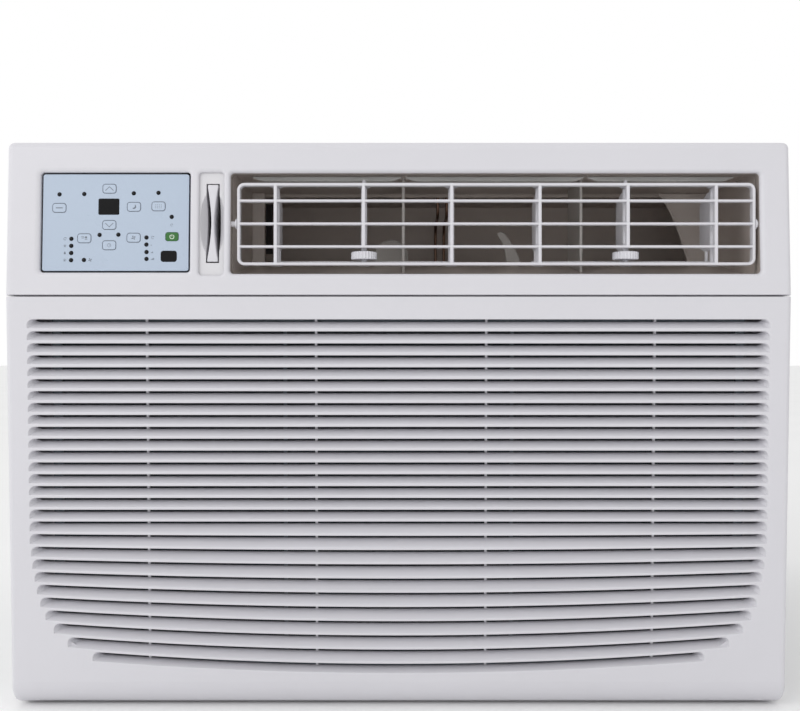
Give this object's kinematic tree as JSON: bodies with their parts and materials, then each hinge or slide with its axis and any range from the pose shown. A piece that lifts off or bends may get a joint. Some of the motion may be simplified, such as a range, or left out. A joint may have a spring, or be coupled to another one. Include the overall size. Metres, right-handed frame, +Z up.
{
  "type": "window air conditioner",
  "caption": "Slide-out window air conditioner with a tilting discharge louvre, turning vanes, drop-down intake grille, key panel, vent lever and a full refrigeration chassis.",
  "frame": {"origin": "middle of the underside of the whole unit, on the surface it stands on", "axes": "+X to the right as seen from the room, +Y towards the outdoors, along the unit's depth, +Z up"},
  "size_m": [0.66, 0.673, 0.481],
  "materials": {
    "white_plastic": "satin moulded ABS",
    "panel_film": "satin printed polyester film",
    "green_key": "satin printed film",
    "dark_lens": "gloss smoked acrylic",
    "black_plastic": "matt moulded",
    "grey_plastic": "matt moulded",
    "duct_plastic": "matt moulded",
    "filter_plastic": "matt moulded",
    "filter_mesh": "woven nylon net",
    "circuit_board": "solder mask",
    "galvanised": "zinc spangle",
    "aluminium": "satin",
    "coil_fins": "thin folded fins",
    "copper": "drawn copper tube",
    "heater_steel": "heat-tinted sheath",
    "steel": "turned",
    "painted_steel": "powder coat",
    "black_paint": "satin enamel",
    "rubber": "moulded",
    "cabinet_paint": "powder coat"
  },
  "bodies": {
    "cabinet": {"cabinet": "cabinet_paint"},
    "chassis": {"front_frame": "white_plastic", "cord_gland": "black_plastic", "grille_hinge_pin_left": "steel", "grille_hinge_pin_right": "steel", "control_fascia": "panel_film", "display_window": "dark_lens", "remote_sensor_window": "dark_lens", "control_board": "circuit_board", "control_box": "galvanised", "run_capacitor": "aluminium", "lever_guide": "white_plastic", "discharge_duct": "duct_plastic", "heater_element": "heater_steel", "scroll_housing": "duct_plastic", "fan_motor": "painted_steel", "motor_bracket": "galvanised", "fan_shroud": "black_plastic", "evaporator_coil": "coil_fins", "condenser_coil": "coil_fins", "evaporator_tube_bends": "copper", "compressor": "black_paint", "accumulator": "black_paint", "compressor_mount_1": "rubber", "compressor_mount_2": "rubber", "compressor_mount_3": "rubber", "suction_pipe": "copper", "discharge_pipe": "copper", "capillary_tube": "copper", "base_pan": "galvanised", "bulkhead": "galvanised", "rear_guard": "painted_steel"},
    "intake_panel": {"intake_grille": "white_plastic", "filter_frame": "filter_plastic", "filter_mesh": "filter_mesh"},
    "louvre": {"louvre_frame": "white_plastic"},
    "vane_1": {"vane_1": "white_plastic"},
    "vane_2": {"vane_2": "white_plastic", "thumb_wheel_left": "white_plastic"},
    "vane_3": {"vane_3": "white_plastic"},
    "vane_4": {"vane_4": "white_plastic"},
    "vane_5": {"vane_5": "white_plastic", "thumb_wheel_right": "white_plastic"},
    "vane_6": {"vane_6": "white_plastic"},
    "link_left": {"link_bar_left": "white_plastic"},
    "link_right": {"link_bar_right": "white_plastic"},
    "lever": {"vent_lever": "white_plastic"},
    "damper": {"vent_damper": "grey_plastic"},
    "rotor": {"motor_shaft": "steel", "blower_wheel": "black_plastic", "condenser_fan": "black_plastic"},
    "button_ion": {"button_ion": "panel_film"},
    "button_temp_up": {"button_temp_up": "panel_film"},
    "button_temp_down": {"button_temp_down": "panel_film"},
    "button_sleep": {"button_sleep": "panel_film"},
    "button_check_filter": {"button_check_filter": "panel_film"},
    "button_mode": {"button_mode": "panel_film"},
    "button_timer": {"button_timer": "panel_film"},
    "button_fan": {"button_fan": "panel_film"},
    "button_power": {"button_power": "green_key"}
  },
  "joints": [
    {"name": "chassis_slide", "type": "slide", "parent": "cabinet", "child": "chassis", "axis": [0, -1, 0], "range_m": [0, 0.45]},
    {"name": "grille_tilt", "type": "hinge", "parent": "chassis", "child": "intake_panel", "pos_m": [0, -0.303, 0.009], "axis": [1, 0, 0], "range_deg": [0, 30]},
    {"name": "louvre_tilt", "type": "hinge", "parent": "chassis", "child": "louvre", "pos_m": [0.0826, -0.3255, 0.412], "axis": [1, 0, 0], "range_deg": [-15, 15]},
    {"name": "vane_2_turn", "type": "hinge", "parent": "louvre", "child": "vane_2", "pos_m": [-0.0295, -0.318, 0.412], "axis": [0, 0, 1], "range_deg": [-25, 25]},
    {"name": "vane_5_turn", "type": "hinge", "parent": "louvre", "child": "vane_5", "pos_m": [0.194, -0.318, 0.412], "axis": [0, 0, 1], "range_deg": [-25, 25]},
    {"name": "vane_1_turn", "type": "hinge", "parent": "louvre", "child": "vane_1", "pos_m": [-0.104, -0.318, 0.412], "axis": [0, 0, 1], "range_deg": [-25, 25]},
    {"name": "vane_3_turn", "type": "hinge", "parent": "louvre", "child": "vane_3", "pos_m": [0.045, -0.318, 0.412], "axis": [0, 0, 1], "range_deg": [-25, 25]},
    {"name": "vane_4_turn", "type": "hinge", "parent": "louvre", "child": "vane_4", "pos_m": [0.1195, -0.318, 0.412], "axis": [0, 0, 1], "range_deg": [-25, 25]},
    {"name": "vane_6_turn", "type": "hinge", "parent": "louvre", "child": "vane_6", "pos_m": [0.2685, -0.318, 0.412], "axis": [0, 0, 1], "range_deg": [-25, 25]},
    {"name": "link_left_turn", "type": "hinge", "parent": "vane_2", "child": "link_left", "pos_m": [-0.0295, -0.3, 0.381], "axis": [0, 0, 1], "range_deg": [-25, 25]},
    {"name": "link_right_turn", "type": "hinge", "parent": "vane_5", "child": "link_right", "pos_m": [0.194, -0.3, 0.381], "axis": [0, 0, 1], "range_deg": [-25, 25]},
    {"name": "vent_lever_slide", "type": "slide", "parent": "chassis", "child": "lever", "axis": [0, -1, 0], "range_m": [0, 0.025]},
    {"name": "damper_turn", "type": "hinge", "parent": "chassis", "child": "damper", "pos_m": [-0.157, -0.083, 0.379], "axis": [1, 0, 0], "range_deg": [0, 32.2]},
    {"name": "fan_spin", "type": "hinge", "parent": "chassis", "child": "rotor", "pos_m": [0.04, 0, 0.198], "axis": [0, 1, 0], "continuous": true},
    {"name": "press_ion", "type": "slide", "parent": "chassis", "child": "button_ion", "axis": [0, 1, 0], "range_m": [0, 0.0005], "stiffness_N_per_m": 400},
    {"name": "press_temp_up", "type": "slide", "parent": "chassis", "child": "button_temp_up", "axis": [0, 1, 0], "range_m": [0, 0.0005], "stiffness_N_per_m": 400},
    {"name": "press_temp_down", "type": "slide", "parent": "chassis", "child": "button_temp_down", "axis": [0, 1, 0], "range_m": [0, 0.0005], "stiffness_N_per_m": 400},
    {"name": "press_sleep", "type": "slide", "parent": "chassis", "child": "button_sleep", "axis": [0, 1, 0], "range_m": [0, 0.0005], "stiffness_N_per_m": 400},
    {"name": "press_check_filter", "type": "slide", "parent": "chassis", "child": "button_check_filter", "axis": [0, 1, 0], "range_m": [0, 0.0005], "stiffness_N_per_m": 400},
    {"name": "press_mode", "type": "slide", "parent": "chassis", "child": "button_mode", "axis": [0, 1, 0], "range_m": [0, 0.0005], "stiffness_N_per_m": 400},
    {"name": "press_timer", "type": "slide", "parent": "chassis", "child": "button_timer", "axis": [0, 1, 0], "range_m": [0, 0.0005], "stiffness_N_per_m": 400},
    {"name": "press_fan", "type": "slide", "parent": "chassis", "child": "button_fan", "axis": [0, 1, 0], "range_m": [0, 0.0005], "stiffness_N_per_m": 400},
    {"name": "press_power", "type": "slide", "parent": "chassis", "child": "button_power", "axis": [0, 1, 0], "range_m": [0, 0.0005], "stiffness_N_per_m": 400}
  ],
  "couplings": [
    {"joint": "vane_1_turn", "follows": "vane_2_turn", "ratio": 1},
    {"joint": "vane_3_turn", "follows": "vane_2_turn", "ratio": 1},
    {"joint": "link_left_turn", "follows": "vane_2_turn", "ratio": -1},
    {"joint": "vane_4_turn", "follows": "vane_5_turn", "ratio": 1},
    {"joint": "vane_6_turn", "follows": "vane_5_turn", "ratio": 1},
    {"joint": "link_right_turn", "follows": "vane_5_turn", "ratio": -1},
    {"joint": "damper_turn", "follows": "vent_lever_slide", "rad_per_m": 22.4}
  ]
}
